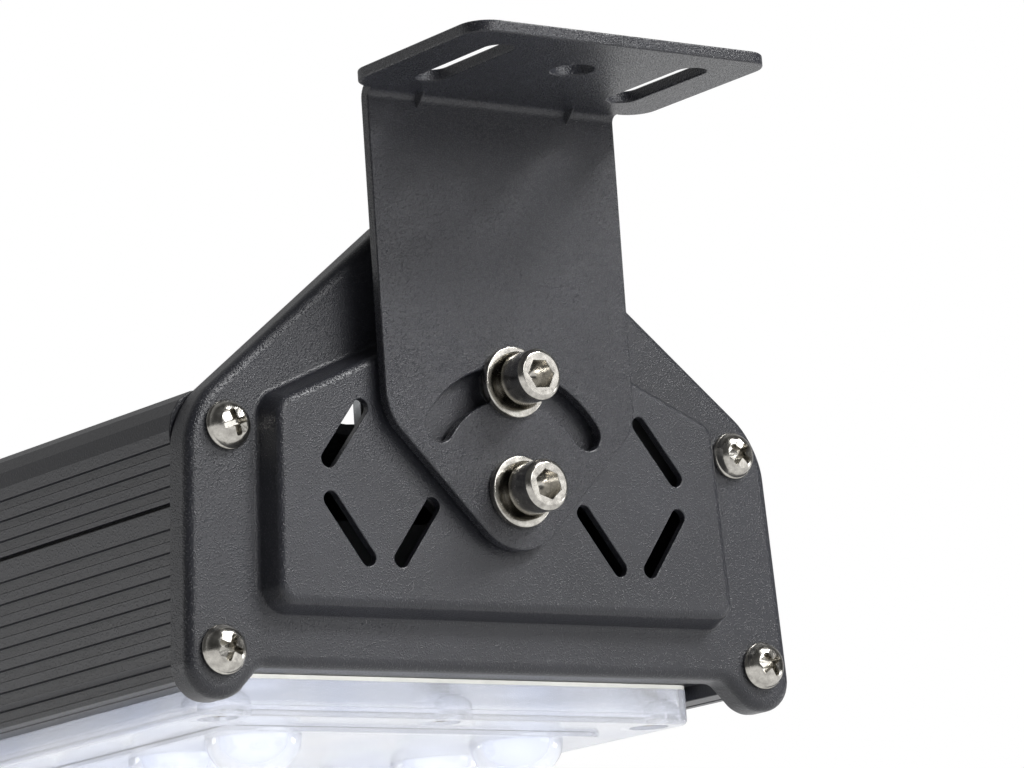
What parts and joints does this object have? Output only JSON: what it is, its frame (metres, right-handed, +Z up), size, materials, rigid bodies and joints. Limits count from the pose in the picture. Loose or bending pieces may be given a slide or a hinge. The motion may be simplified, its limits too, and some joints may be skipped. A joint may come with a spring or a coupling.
{
  "type": "linear high bay light",
  "caption": "Linear LED high bay light: black extruded body with clear lens panels, hung between two L brackets that let it tilt.",
  "frame": {"origin": "top face of the front bracket's flange, between its bend and its round hole", "axes": "+X across the light, +Y along it from the front end to the rear end, +Z up"},
  "size_m": [0.1466, 0.421, 0.132],
  "materials": {
    "black_extrusion": "extruded aluminium, satin black coat",
    "black_cast_plate": "pressed aluminium, fine-textured black powder coat",
    "black_bracket_coat": "steel sheet, fine-textured black powder coat",
    "clear_lens": "clear moulded polycarbonate",
    "silicone": "white silicone seal",
    "white_board": "metal-core board, white solder mask",
    "driver_case": "potted driver in an aluminium case",
    "bare_aluminium": "bare aluminium sheet",
    "black_nylon": "moulded black nylon",
    "zinc_steel": "zinc-plated steel",
    "nickel_steel": "nickel-plated steel"
  },
  "bodies": {
    "front_bracket": {"front_bracket": "black_bracket_coat"},
    "housing": {"driver": "driver_case", "driver_screw_1": "zinc_steel", "driver_screw_2": "zinc_steel", "driver_tray": "bare_aluminium", "front_end_plate": "black_cast_plate", "front_led_board": "white_board", "front_lens": "clear_lens", "front_lens_gasket": "silicone", "front_lens_screw_1": "nickel_steel", "front_lens_screw_2": "nickel_steel", "front_lens_screw_3": "nickel_steel", "front_lens_screw_4": "nickel_steel", "front_lens_screw_5": "nickel_steel", "front_lens_screw_6": "nickel_steel", "front_lock_bolt": "nickel_steel", "front_lock_rivet_nut": "zinc_steel", "front_lock_spring_washer": "nickel_steel", "front_lock_washer": "nickel_steel", "front_nut_plate": "zinc_steel", "front_pivot_bolt": "nickel_steel", "front_pivot_rivet_nut": "zinc_steel", "front_pivot_spring_washer": "nickel_steel", "front_pivot_washer": "nickel_steel", "front_plate_screw_lower_left": "nickel_steel", "front_plate_screw_lower_right": "nickel_steel", "front_plate_screw_upper_left": "nickel_steel", "front_plate_screw_upper_right": "nickel_steel", "gland_body": "black_nylon", "gland_cap": "black_nylon", "gland_locknut": "black_nylon", "heatsink_body": "black_extrusion", "rear_end_plate": "black_cast_plate", "rear_led_board": "white_board", "rear_lens": "clear_lens", "rear_lens_gasket": "silicone", "rear_lens_screw_1": "nickel_steel", "rear_lens_screw_2": "nickel_steel", "rear_lens_screw_3": "nickel_steel", "rear_lens_screw_4": "nickel_steel", "rear_lens_screw_5": "nickel_steel", "rear_lens_screw_6": "nickel_steel", "rear_lock_bolt": "nickel_steel", "rear_lock_rivet_nut": "zinc_steel", "rear_lock_spring_washer": "nickel_steel", "rear_lock_washer": "nickel_steel", "rear_nut_plate": "zinc_steel", "rear_pivot_bolt": "nickel_steel", "rear_pivot_rivet_nut": "zinc_steel", "rear_pivot_spring_washer": "nickel_steel", "rear_pivot_washer": "nickel_steel", "rear_plate_screw_lower_left": "nickel_steel", "rear_plate_screw_lower_right": "nickel_steel", "rear_plate_screw_upper_left": "nickel_steel", "rear_plate_screw_upper_right": "nickel_steel", "terminal_block": "black_nylon", "top_cover": "black_extrusion", "tray_screw_1": "zinc_steel", "tray_screw_2": "zinc_steel"},
    "rear_bracket": {"rear_bracket": "black_bracket_coat"}
  },
  "joints": [
    {"name": "housing_tilt", "type": "hinge", "parent": "front_bracket", "child": "housing", "pos_m": [0, 0.0221, -0.0816], "axis": [0, 1, 0], "range_deg": [-55, 55]},
    {"name": "rear_bracket_tilt", "type": "hinge", "parent": "housing", "child": "rear_bracket", "pos_m": [0, 0.3341, -0.0816], "axis": [0, 1, 0], "range_deg": [-55, 55]}
  ],
  "couplings": [
    {"joint": "rear_bracket_tilt", "follows": "housing_tilt", "ratio": -1}
  ]
}
